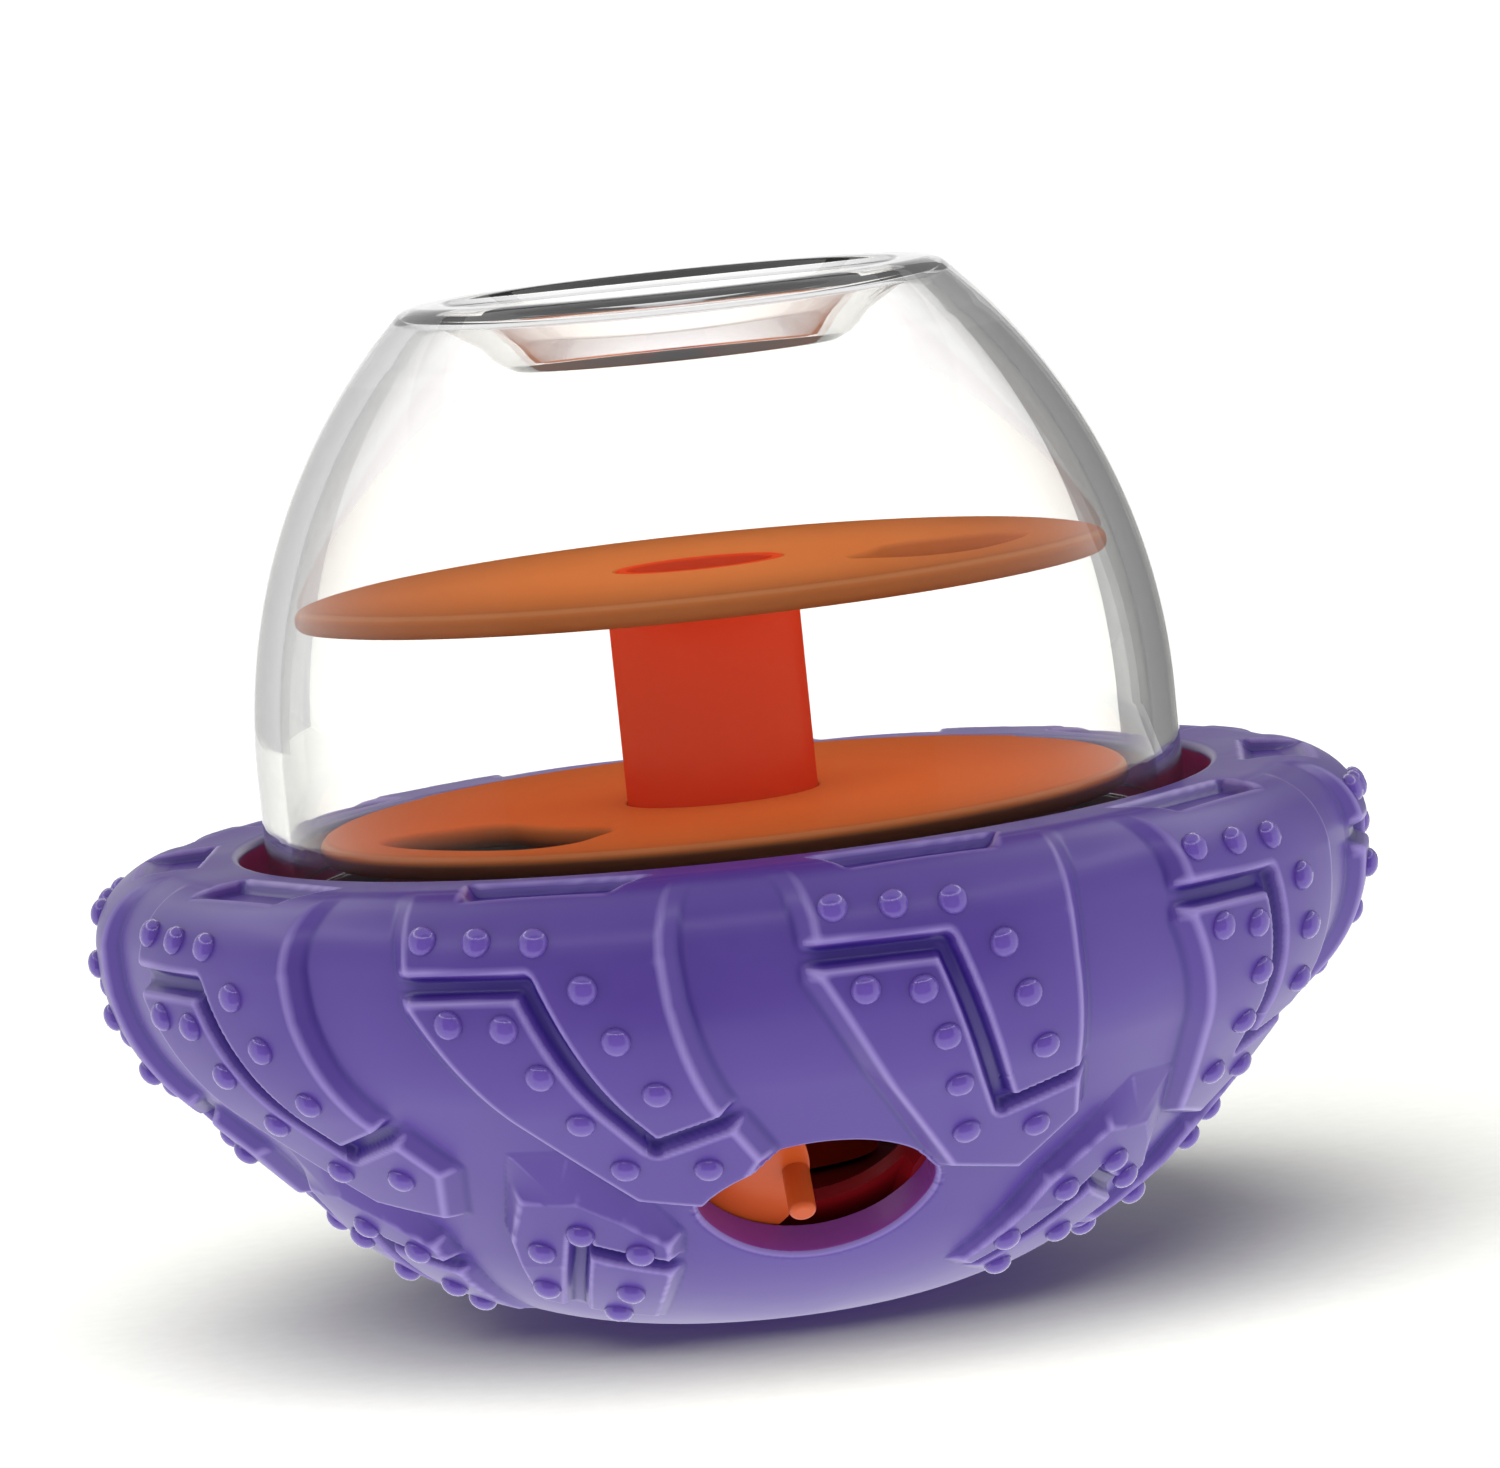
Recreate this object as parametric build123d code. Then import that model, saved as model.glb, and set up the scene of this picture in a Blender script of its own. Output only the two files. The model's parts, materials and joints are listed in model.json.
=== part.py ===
import os
from math import cos, degrees, pi, radians, sin, sqrt, tan

from build123d import *

os.makedirs("parts", exist_ok=True)

# All lengths in millimetres, all angles in degrees.
# Origin: centre of the foot on the floor. +Z up, the treat outlet faces -Y.
# A bearing is an angle about Z counted from -Y towards +X.

full_turn = 360.0
quarter_turn = 90.0

# base
rim_z = 54.8
side_r = 68.0
foot_r = 12.0
cone_foot_r = 30.9
cone_lean = 44.4
shoulder_r = 7.6
side_arc_r = 20.0
shell_wall = 3.8
rim_wall = 3.0
rim_r = 53.5
overrun = 5.0
fit_gap = 0.05
slip_gap = 0.3

# tread
lug_count = 10
lug_pitch = full_turn / lug_count
lug_height = 2.0
lug_shoulder_r = 8.2
lug_top_drop = 0.3
lug_first_bearing = 18.0
lug_draft = 44.0
lug_left_shares = ((-14.0, 1.02), (-11.6, 0.912), (-11.4, 0.80), (3.9, 0.365), (13.2, 0.335))
lug_right_shares = (
    (13.2, 0.335), (17.8, 0.435), (14.0, 0.566), (11.6, 0.775), (11.3, 0.876), (13.0, 1.02),
)
groove_width = 2.0
groove_depth = 1.5
groove_round = 1.4
groove_shares = ((-15.0, 0.842), (-0.6, 0.832), (7.6, 0.484), (19.5, 0.552))
pocket_shares = ((-9.6, 1.08), (-7.4, 1.206), (6.6, 1.206), (9.4, 1.10))
pocket_depth = 1.4
nub_r = 1.65
nub_height = 1.2
nub_shares = (
    (-9.8, 0.923), (-4.6, 0.918), (0.6, 0.913), (4.6, 0.819), (6.8, 0.715), (9.4, 0.606),
    (-7.8, 0.765), (-2.8, 0.757), (-0.6, 0.657), (1.5, 0.552), (3.9, 0.442), (12.5, 0.429),
)

# lower tread, one lug under each main lug, outlines across and up the cone
low_bearing = -6.0
low_z_share = 0.27
low_floor_shares = (
    (-0.064, 0.26), (0.068, 0.26), (0.162, 0.10), (0.199, -0.027),
    (0.15, -0.153), (0.007, -0.38), (-0.215, -0.265), (-0.17, 0.018),
)
low_face_shares = (
    (-0.073, 0.146), (0.042, 0.137), (0.108, 0.066), (0.168, -0.029),
    (0.131, -0.131), (0.005, -0.345), (-0.192, -0.246), (-0.148, 0.005),
)
low_stem_shares = ((0.004, 0.02), (-0.17, -0.36))
low_branch_shares = ((-0.01, -0.01), (0.2, -0.13))
low_nub_shares = (
    (-6.1, 0.258), (0.8, 0.30), (7.2, 0.245), (-11.0, 0.168), (2.0, 0.151), (-4.5, 0.096),
)

# liner
liner_wall = 2.4
collar_r = 52.3
collar_wall = 3.0
collar_z = 47.0
skirt_z = 40.0
skirt_wall = 2.6

# thread between dome and liner
thread_lead = 24.0
thread_starts = 4
thread_arc = 40.0
thread_height = 1.3
thread_width = 2.2
thread_gap = 0.5
thread_z = 40.6

# outlet and shutter
outlet_bearing = 6.7
outlet_r = 48.3
outlet_half_width = 13.2
outlet_half_height = 9.6
outlet_tip_round = 2.6
outlet_inner_share = 0.92
shutter_wall = 1.8
shutter_from = -18.5
shutter_to = 6.3
shutter_low_z = 13.0
shutter_high_z = 28.5
shutter_play = 0.4
shutter_end_r = 16.0
track_from = -29.5
track_to = 21.0
track_wall = 1.6
pin_r = 1.45
pin_bearing = 4.4
pin_length = 5.6
pin_round = 0.6

# ballast
weight_r = 24.5
weight_top_z = 12.5
cover_r = 26.0
cover_wall = 2.2
boss_r = 2.8
boss_ring_r = 21.0
boss_count = 3
boss_bearing = 60.0
screw_r = 1.3
screw_length = 5.5
screw_head_r = 2.5
screw_head_height = 1.8
post_r = 7.6
post_top_z = 26.0

# trays on their column and hub
column_r = 10.5
column_bore_r = 8.0
column_low_z = 40.0
hub_r = 13.0
hub_lift = 0.6
hub_web = 2.6
flange_r = 16.0
flange_wall = 2.2
spigot_r = 9.3
lower_tray_z = 56.0
upper_tray_z = 81.3
tray_r = 44.5
tray_wall = 2.6
tray_edge_share = 0.42
lower_slot_radii = (24.0, 39.5)
lower_slot_bearings = (-76.0, -26.0)
upper_slot_radii = (20.0, 36.0)
upper_slot_bearings = (46.0, 92.0)
slot_round = 5.0
axle_screw_r = 1.6
axle_grip = 7.0
axle_pilot_depth = 12.0
axle_head_r = 3.8
axle_head_height = 2.4
washer_r = 6.2
washer_wall = 0.8

# dome
dome_r = 50.5
dome_wall = 2.8
dome_low_z = 37.0
dome_straight_z = 63.0
dome_arc_r = 68.0
dome_top_z = 112.4
dish_r = 25.0
dish_floor_r = 16.5
dish_depth = 5.6
dish_round = 1.6
crest_round = 3.4
bead_r = 52.7
bead_wall = 1.6
seal_wall = 2.0


def bearing(angle):
    return Rot(0, 0, angle)


def on_bearing(radius, angle, height):
    return Vector(radius * sin(radians(angle)), -radius * cos(radians(angle)), height)


def spun(edges):
    return revolve(Plane.XZ * make_face(edges), Axis.Z)


def ring(inner, outer, low, high):
    tube = Cylinder(outer, high - low) - Cylinder(inner, high - low + overrun)
    return Pos(0, 0, (low + high) / 2) * tube


def disc(radius, low, high):
    return Pos(0, 0, (low + high) / 2) * Cylinder(radius, high - low)


def sector(angle_from, angle_to, radius, low, high):
    half = Plane.XZ * Pos(radius / 2, (low + high) / 2) * Rectangle(radius, high - low)
    swept = revolve(half, Axis.Z, revolution_arc=angle_to - angle_from)
    return bearing(angle_from - quarter_turn) * swept


def flat_outline(shares, length):
    return make_face(Polyline(*[(across * length, up * length) for across, up in shares], close=True))


# places spread evenly round the axis
def round_spots(count, first=0):
    return [bearing(first + turn * full_turn / count) for turn in range(count)]


def side_numbers(inset):
    lean = radians(cone_lean)
    low = max(inset, 0)
    side = side_r - inset
    cone = cone_foot_r - inset / cos(lean)
    foot_arc = (cone + low * tan(lean) - foot_r) / tan((pi / 2 - lean) / 2)
    side_arc = side_arc_r - inset
    arc_z = (side - cone) / tan(lean) + side_arc * tan(lean / 2)
    return side, cone, low, foot_arc, side_arc, arc_z


# solid of revolution that follows the outside of the base at a given inset
def base_core(inset, top, round_r):
    lean = radians(cone_lean)
    rise = pi / 2 - lean
    side, cone, low, foot_arc, side_arc, arc_z = side_numbers(inset)

    def foot_point(turn):
        return (foot_r + foot_arc * sin(turn), low + foot_arc * (1 - cos(turn)))

    def side_point(turn):
        return (side - side_arc * (1 - cos(turn)), arc_z - side_arc * sin(turn))

    def shoulder_point(turn):
        return (side - round_r * (1 - cos(turn)), top - round_r * (1 - sin(turn)))

    return spun([
        Line((0, low), foot_point(0)),
        ThreePointArc(foot_point(0), foot_point(rise / 2), foot_point(rise)),
        Line(foot_point(rise), side_point(lean)),
        ThreePointArc(side_point(lean), side_point(lean / 2), side_point(0)),
        Line(side_point(0), shoulder_point(0)),
        ThreePointArc(shoulder_point(0), shoulder_point(pi / 4), shoulder_point(pi / 2)),
        Line(shoulder_point(pi / 2), (0, top)),
        Line((0, top), (0, low)),
    ])


# radius of the lug faces at a height
def lug_radius(height):
    lean = radians(cone_lean)
    side, cone, low, foot_arc, side_arc, arc_z = side_numbers(-lug_height)
    shoulder_z = rim_z - lug_top_drop - lug_shoulder_r
    if height > shoulder_z:
        rise = min(height - shoulder_z, lug_shoulder_r)
        return side - lug_shoulder_r + sqrt(lug_shoulder_r ** 2 - rise ** 2)
    if height > arc_z:
        return side
    if height > arc_z - side_arc * sin(lean):
        return side - side_arc + sqrt(side_arc ** 2 - (arc_z - height) ** 2)
    if height > low + foot_arc * (1 - sin(lean)):
        return cone + height * tan(lean)
    return foot_r + sqrt(foot_arc ** 2 - (foot_arc - height + low) ** 2)


def lug_spot(angle, share):
    height = share * rim_z
    radius = lug_radius(height)
    return radius * sin(radians(angle)), radius * cos(radians(angle)), height


# prism whose wall leans by the draft and meets the lug face in the given outline
def drafted_prism(shares, lean, far_x):
    reference = rim_r - overrun
    corners = []
    for angle, share in shares:
        across, out, height = lug_spot(angle, share)
        corners.append((across - (out - reference) * tan(radians(lean)), height))
    corners.append((far_x, corners[-1][1]))
    corners.append((far_x, corners[0][1]))
    face = Plane.XZ.offset(reference) * make_face(Polyline(*corners, close=True))
    way = Vector(tan(radians(lean)), -1, 0)
    return extrude(face, side_r - reference + overrun, dir=way)


def nub(angle, share):
    step = nub_height / rim_z
    across, out, height = lug_spot(angle, share)
    radius = lug_radius(height)
    slope = lug_radius((share + step) * rim_z) - lug_radius((share - step) * rim_z)
    lean = Vector(2 * nub_height, -slope).normalized()
    sphere_r = (nub_r ** 2 + nub_height ** 2) / (2 * nub_height)
    sink = sphere_r - nub_height
    spot = on_bearing(radius - sink * lean.X, angle, height - sink * lean.Y)
    return Pos(spot) * Sphere(sphere_r)


# outside of the lug faces, or of the floors of their grooves
def lug_core(depth):
    return base_core(depth - lug_height, rim_z - lug_top_drop - depth, lug_shoulder_r)


def main_lug():
    left = drafted_prism(lug_left_shares, lug_draft, side_r)
    right = drafted_prism(lug_right_shares, -lug_draft, -side_r)
    spots = [lug_spot(*spot) for spot in groove_shares]
    path = FilletPolyline(*[(across, height) for across, out, height in spots], radius=groove_round)
    slot = extrude(Plane.XZ.offset(foot_r) * trace(path, groove_width), side_r)
    lug = left & right & lug_core(0)
    lug = (lug - slot) + (lug & lug_core(groove_depth))
    return lug + [nub(*spot) for spot in nub_shares]


def lower_lug():
    height = low_z_share * rim_z
    lean = radians(cone_lean)
    spot = on_bearing(lug_radius(height), 0, height)
    face_plane = Plane(origin=spot, x_dir=(1, 0, 0), z_dir=(0, -cos(lean), -sin(lean)))
    floor_plane = face_plane.offset(-lug_height)

    def slot(shares):
        path = Polyline(*[(across * rim_z, up * rim_z) for across, up in shares])
        return extrude(face_plane * trace(path, groove_width), overrun, both=True)

    foot = floor_plane * flat_outline(low_floor_shares, rim_z)
    face = face_plane * flat_outline(low_face_shares, rim_z)
    lug = loft([foot, face], ruled=True) + extrude(foot, -overrun)
    lug = lug & lug_core(0)
    lug = (lug - slot(low_stem_shares) - slot(low_branch_shares)) + (lug & lug_core(groove_depth))
    return lug + [nub(*spot) for spot in low_nub_shares]


def lens(half_width, half_height, tip_round):
    upper = ThreePointArc((-half_width, 0), (0, half_height), (half_width, 0))
    lower = ThreePointArc((half_width, 0), (0, -half_height), (-half_width, 0))
    face = make_face([upper, lower])
    return fillet(face.vertices(), tip_round)


def outlet_plane():
    lean = radians(cone_lean)
    height = (outlet_r - cone_foot_r) / tan(lean)
    spot = on_bearing(outlet_r, outlet_bearing, height)
    out = on_bearing(cos(lean), outlet_bearing, -sin(lean))
    return Plane(origin=spot, x_dir=on_bearing(1, outlet_bearing + quarter_turn, 0), z_dir=out)


def tread_shell():
    lug = main_lug()
    low = lower_lug()
    spots = round_spots(lug_count, lug_first_bearing)
    lugs = [spot * lug for spot in spots]
    # the outlet takes the place of the first lower lug
    lows = [spot * bearing(low_bearing) * low for spot in spots[1:]]
    body = base_core(0, rim_z, shoulder_r) + lugs + lows
    corners = [on_bearing(share * rim_r, angle, rim_z - pocket_depth) for angle, share in pocket_shares]
    pocket = extrude(make_face(Polyline(*corners, close=True)), overrun, dir=(0, 0, 1))
    pockets = [spot * pocket for spot in spots]
    hollow = base_core(shell_wall, rim_z - rim_wall, shoulder_r - rim_wall)
    hollow = hollow - ring(collar_r + collar_wall, collar_r + collar_wall + skirt_wall, skirt_z, rim_z)
    hollow = hollow - ring(rim_r, collar_r + collar_wall + skirt_wall, collar_z, rim_z)
    mouth = disc(rim_r, collar_z, rim_z + overrun)
    hole = outlet_plane() * lens(outlet_half_width, outlet_half_height, outlet_tip_round)
    hole = extrude(hole, overrun, both=True)
    return body - pockets - hollow - mouth - hole


def thread_ridges(inner, outer, height):
    lean = Rot(0, -degrees(thread_lead / (2 * pi * dome_r)), 0)
    length = 2 * dome_r * sin(radians(thread_arc / 2))
    bar = Pos(0, -dome_r, height) * lean * Box(length, 2 * overrun, thread_width)
    ridge = bar & ring(inner, outer, height - overrun, height + overrun)
    return [spot * ridge for spot in round_spots(thread_starts)]


def track_core(inset):
    return base_core(shell_wall + inset, rim_z, shoulder_r)


def band(near, far, angle_from, angle_to, low, high):
    return (track_core(near) - track_core(far)) & sector(angle_from, angle_to, side_r, low, high)


def track_depth():
    return shutter_wall + 2 * slip_gap


def boss_spots():
    return [spot * Pos(0, -boss_ring_r, 0) for spot in round_spots(boss_count, boss_bearing)]


def inner_bowl():
    outside = track_core(0) & disc(collar_r + collar_wall, 0, collar_z)
    inside = track_core(liner_wall) & disc(collar_r, 0, collar_z + overrun)
    low = shutter_low_z - shutter_play
    high = shutter_high_z + shutter_play
    side = degrees(track_wall / collar_r)
    back = track_depth() + track_wall
    pad = band(0, back, track_from - side, track_to + side, low - track_wall, high + track_wall)
    track = band(-overrun, track_depth(), track_from, track_to, low, high)
    boss = disc(boss_r, shell_wall, weight_top_z)
    pilot = disc(screw_r + fit_gap, weight_top_z - screw_length, weight_top_z + overrun)
    # the ridges of the dome sit half a pitch under those of the bowl
    ridge_z = thread_z + thread_lead / thread_starts / 2
    ridges = thread_ridges(dome_r + thread_gap, collar_r + fit_gap, ridge_z)
    bowl = (outside - inside) + pad + [spot * boss & outside for spot in boss_spots()] + ridges
    hole_share = outlet_inner_share
    hole = lens(outlet_half_width * hole_share, outlet_half_height * hole_share, outlet_tip_round)
    duct = extrude(outlet_plane() * hole, -(shell_wall + back + overrun))
    return bowl - track - duct - [spot * pilot for spot in boss_spots()]


def outlet_shutter():
    plate = band(slip_gap, slip_gap + shutter_wall, shutter_from, shutter_to, shutter_low_z, shutter_high_z)
    lean = radians(cone_lean)
    deep = shell_wall + slip_gap + shutter_wall / 2
    height = (outlet_r - cone_foot_r) / tan(lean)
    # the leading end is rounded, with the pin beside it
    edge = outlet_r * radians(shutter_to - outlet_bearing)
    end = outlet_plane() * Pos(edge - shutter_end_r, 0) * Circle(shutter_end_r)
    plate = plate & extrude(end, -(shell_wall + track_depth() + overrun))
    root = on_bearing(outlet_r - deep * cos(lean), pin_bearing, height + deep * sin(lean))
    plane = Plane(origin=root, z_dir=on_bearing(cos(lean), pin_bearing, -sin(lean)))
    pin = extrude(plane * Circle(pin_r), pin_length + shutter_wall / 2)
    tip = pin.edges().filter_by(GeomType.CIRCLE).sort_by_distance(root)[-1]
    return plate + fillet(tip, pin_round)


def counterweight():
    notch = disc(boss_r + slip_gap, 0, weight_top_z + overrun)
    weight = track_core(liner_wall) & disc(weight_r, 0, weight_top_z)
    return weight - [spot * notch for spot in boss_spots()]


def weight_cover():
    top = weight_top_z + cover_wall
    cover = disc(cover_r, weight_top_z, top) + disc(post_r, weight_top_z, post_top_z)
    pilot = disc(axle_screw_r + fit_gap, post_top_z - axle_pilot_depth, post_top_z + overrun)
    hole = disc(screw_r + slip_gap, weight_top_z - overrun, top + overrun)
    return cover - pilot - [spot * hole for spot in boss_spots()]


def pan_screw(shank_r, length, head_r, head_height, seat_z):
    head = disc(head_r, seat_z, seat_z + head_height)
    head = fillet(head.edges().sort_by(Axis.Z)[-1], head_height / 2)
    cross = Box(head_r, shank_r / 2, head_height) + Box(shank_r / 2, head_r, head_height)
    return head + disc(shank_r, seat_z - length, seat_z) - Pos(0, 0, seat_z + head_height) * cross


def cover_screws():
    screw = pan_screw(screw_r, screw_length, screw_head_r, screw_head_height, weight_top_z + cover_wall)
    return Compound([spot * screw for spot in boss_spots()])


def web_top():
    return post_top_z + slip_gap + hub_web


# carries the lower tray and turns on the post
def tray_hub():
    low = weight_top_z + cover_wall + hub_lift
    top = lower_tray_z - tray_wall
    body = disc(hub_r, low, top) + disc(flange_r, top - flange_wall, top)
    body = body - disc(column_bore_r, low - overrun, post_top_z + slip_gap)
    body = body - disc(column_bore_r, web_top(), top + overrun)
    body = body - disc(column_r + fit_gap, column_low_z, top + overrun)
    return body - disc(axle_screw_r + 2 * slip_gap, post_top_z, web_top() + overrun)


def column():
    tube = disc(column_r, column_low_z, upper_tray_z - tray_wall)
    tube = tube + disc(spigot_r, column_low_z, upper_tray_z)
    return tube - disc(column_bore_r, column_low_z - overrun, upper_tray_z + overrun)


def axle_washer():
    low = web_top() + slip_gap
    return ring(axle_screw_r + slip_gap, washer_r, low, low + washer_wall)


def axle_screw():
    seat = web_top() + slip_gap + washer_wall
    return pan_screw(axle_screw_r, seat - post_top_z + axle_grip, axle_head_r, axle_head_height, seat)


def arc_slot(radii, bearings, low, high):
    cut = sector(bearings[0], bearings[1], radii[1], low, high)
    cut = cut - disc(radii[0], low - overrun, high + overrun)
    return fillet(cut.edges().filter_by(Axis.Z), slot_round)


def tray(top, bore_r, radii, bearings):
    low = top - tray_wall
    plate = disc(tray_r, low, top)
    plate = fillet(plate.edges().filter_by(GeomType.CIRCLE), tray_wall * tray_edge_share)
    bore = disc(bore_r, low - overrun, top + overrun)
    return plate - bore - arc_slot(radii, bearings, low - overrun, top + overrun)


def lower_tray():
    return tray(lower_tray_z, column_r + fit_gap, lower_slot_radii, lower_slot_bearings)


def upper_tray():
    return tray(upper_tray_z, spigot_r + fit_gap, upper_slot_radii, upper_slot_bearings)


# solid of revolution that follows the outside of the dome at a given inset
def dome_core(inset):
    arc = dome_arc_r - inset
    mid_x = dome_r - dome_arc_r
    top = dome_top_z - inset

    def arc_point(height):
        return (mid_x + sqrt(arc ** 2 - (height - dome_straight_z) ** 2), height)

    dish_turn = inset * (dish_r - dish_floor_r) / dish_depth
    dish_shift = inset * (sqrt(dish_depth ** 2 + (dish_r - dish_floor_r) ** 2) / dish_depth) - dish_turn
    floor = top - dish_depth
    crest = (dish_r + dish_shift, top)
    dish = (dish_floor_r + dish_shift, floor)
    body = spun([
        Line((0, dome_low_z), (dome_r - inset, dome_low_z)),
        Line((dome_r - inset, dome_low_z), arc_point(dome_straight_z)),
        ThreePointArc(arc_point(dome_straight_z), arc_point((dome_straight_z + top) / 2), arc_point(top)),
        Line(arc_point(top), crest),
        Line(crest, dish),
        Line(dish, (0, floor)),
        Line((0, floor), (0, dome_low_z)),
    ])

    def rims(radius):
        circles = body.edges().filter_by(GeomType.CIRCLE)
        return circles.filter_by(lambda edge: abs(edge.radius - radius) < fit_gap)

    body = fillet(rims(arc_point(top)[0]), crest_round - inset / 2)
    body = fillet(rims(crest[0]), dish_round)
    return fillet(rims(dish[0]), dish_round)


def dome():
    shell = dome_core(0) - dome_core(dome_wall)
    shell = shell - disc(dome_r - dome_wall, dome_low_z - overrun, dome_low_z + overrun)
    bead_z = collar_z + seal_wall
    bead = ring(dome_r - fit_gap, bead_r, bead_z, bead_z + bead_wall)
    return shell + bead + thread_ridges(dome_r - fit_gap, dome_r + thread_height, thread_z)


def dome_seal():
    return ring(dome_r + slip_gap, rim_r - slip_gap - fit_gap, collar_z, collar_z + seal_wall)


pieces = {
    "tread_shell": tread_shell(),
    "inner_bowl": inner_bowl(),
    "outlet_shutter": outlet_shutter(),
    "counterweight": counterweight(),
    "weight_cover": weight_cover(),
    "cover_screws": cover_screws(),
    "tray_hub": tray_hub(),
    "column": column(),
    "axle_washer": axle_washer(),
    "axle_screw": axle_screw(),
    "lower_tray": lower_tray(),
    "upper_tray": upper_tray(),
    "dome_seal": dome_seal(),
    "dome": dome(),
}

for name, shape in pieces.items():
    export_step(shape, "parts/" + name + ".step")
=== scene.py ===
import json
from math import asin, atan2, cos, hypot, pi, radians, sin, sqrt, tan

import bmesh
import bpy
import numpy as np
from mathutils import Matrix, Vector

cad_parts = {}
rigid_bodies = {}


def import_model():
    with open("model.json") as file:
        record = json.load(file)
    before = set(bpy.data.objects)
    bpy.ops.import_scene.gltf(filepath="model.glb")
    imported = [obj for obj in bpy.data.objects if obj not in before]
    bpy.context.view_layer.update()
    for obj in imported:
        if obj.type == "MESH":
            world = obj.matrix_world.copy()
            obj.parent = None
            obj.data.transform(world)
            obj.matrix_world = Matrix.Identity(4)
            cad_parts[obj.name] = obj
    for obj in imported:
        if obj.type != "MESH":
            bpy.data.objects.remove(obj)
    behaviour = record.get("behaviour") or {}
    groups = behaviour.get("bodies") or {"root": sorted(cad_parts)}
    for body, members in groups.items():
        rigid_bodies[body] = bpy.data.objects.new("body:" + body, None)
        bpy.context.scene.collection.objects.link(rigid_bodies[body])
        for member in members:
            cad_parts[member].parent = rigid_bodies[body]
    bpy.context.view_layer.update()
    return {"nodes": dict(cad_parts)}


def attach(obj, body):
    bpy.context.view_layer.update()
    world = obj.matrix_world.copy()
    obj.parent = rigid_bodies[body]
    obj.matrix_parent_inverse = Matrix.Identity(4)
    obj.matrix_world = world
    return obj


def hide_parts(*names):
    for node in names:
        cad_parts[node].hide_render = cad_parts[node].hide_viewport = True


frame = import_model()
scene = bpy.context.scene
mm = 0.001
tiny = 1e-6  # shorter than anything drawn, in mm and in metres
print("frame loaded")


def linearColor(code):
    parts = [int(code[start:start + 2], 16) / 255 for start in (0, 2, 4)]
    curve = [((part + 0.055) / 1.055) ** 2.4 if part > 0.04045 else part / 12.92 for part in parts]
    return curve + [1.0]


def addNode(tree, kind, settings=None, values=None, links=None):
    node = tree.nodes.new(kind)
    for key, value in (settings or {}).items():
        setattr(node, key, value)
    for key, value in (values or {}).items():
        node.inputs[key].default_value = value
    for key, socket in (links or {}).items():
        tree.links.new(socket, node.inputs[key])
    return node


def newMaterial(name):
    material = bpy.data.materials.new(name)
    material.use_nodes = True
    material.node_tree.nodes.clear()
    return material, material.node_tree


def endMaterial(tree, surface):
    addNode(tree, "ShaderNodeOutputMaterial", {}, {}, {"Surface": surface})


def addNoise(tree, place, sizeMm, detail, roughness=0.5):
    return addNode(tree, "ShaderNodeTexNoise", {}, {
        "Scale": 1 / (sizeMm * mm), "Detail": detail, "Roughness": roughness},
        {"Vector": place}).outputs["Fac"]


def addRange(tree, value, fromRange, toRange):
    return addNode(tree, "ShaderNodeMapRange", {}, {
        "From Min": fromRange[0], "From Max": fromRange[1],
        "To Min": toRange[0], "To Max": toRange[1]}, {"Value": value}).outputs["Result"]


# sockets 6 and 7 of a mix are its two colours, and 2 is the colour that comes out
def addMix(tree, share, first, second):
    return addNode(tree, "ShaderNodeMix", {"data_type": "RGBA"}, {
        6: linearColor(first), 7: linearColor(second)}, {0: share}).outputs[2]


def addBump(tree, height, strength, depthMm):
    return addNode(tree, "ShaderNodeBump", {}, {
        "Strength": strength, "Distance": depthMm * mm}, {"Height": height}).outputs["Normal"]


noiseRange = (0.3, 0.7)  # most of a noise lies between these
levelRange = (0.85, 0.99)  # upward part of the normal: sloping face to level face


# plastics and rubbers share this: cloudy colour, moulded grain, uneven gloss
def mouldedMaterial(spec):
    material, tree = newMaterial(spec["name"])
    places = addNode(tree, "ShaderNodeTexCoord")
    place = places.outputs["Object"]
    cloud = addNoise(tree, place, spec["cloudMm"], detail=3.0, roughness=0.55)
    grain = addNoise(tree, place, spec["grainMm"], detail=2.0)
    color = addMix(tree, cloud, spec["dark"], spec["light"])
    # the edge attribute paints light: over zero a painted highlight, under zero painted shade
    for tone, start, full, share in spec.get("edges", ()):
        edge = addNode(tree, "ShaderNodeAttribute", {"attribute_name": "edge"}).outputs["Fac"]
        amount = addRange(tree, edge, (start, full), (0.0, share))
        color = addNode(tree, "ShaderNodeMix", {"data_type": "RGBA"}, {7: linearColor(tone)},
                        {0: amount, 6: color}).outputs[2]
    gloss = addRange(tree, cloud, noiseRange, spec["roughness"])
    bump = addBump(tree, grain, spec["grainStrength"], spec["grainDepthMm"])
    links = {"Base Color": color, "Roughness": gloss, "Normal": bump}
    if "flatShine" in spec:
        # level faces are rubbed dull and keep only a share of the shine
        normal = addNode(tree, "ShaderNodeSeparateXYZ", {}, {}, {0: places.outputs["Normal"]})
        shines = {"Specular IOR Level": spec["specular"], "Coat Weight": spec["coat"]}
        for socket, full in shines.items():
            links[socket] = addRange(
                tree, normal.outputs["Z"], levelRange, (full, full * spec["flatShine"]))
    shader = addNode(tree, "ShaderNodeBsdfPrincipled", {}, {
        "IOR": spec["ior"], "Specular IOR Level": spec["specular"],
        "Subsurface Weight": spec["scatter"], "Subsurface Scale": spec["scatterMm"] * mm,
        "Subsurface Radius": spec["scatterTint"],
        "Coat Weight": spec["coat"], "Coat Roughness": spec["coatRoughness"]}, links)
    surface = shader.outputs["BSDF"]
    if "shine" in spec:
        # the same weak shine from every side, so that a plate seen edge-on keeps its colour
        polish = addNode(tree, "ShaderNodeBsdfGlossy", {}, {
            "Color": linearColor(spec["shineTint"]), "Roughness": spec["roughness"][0]},
            {"Normal": bump}).outputs["BSDF"]
        surface = addNode(tree, "ShaderNodeMixShader", {}, {0: spec["shine"]},
                          {1: surface, 2: polish}).outputs[0]
    endMaterial(tree, surface)
    return material


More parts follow.
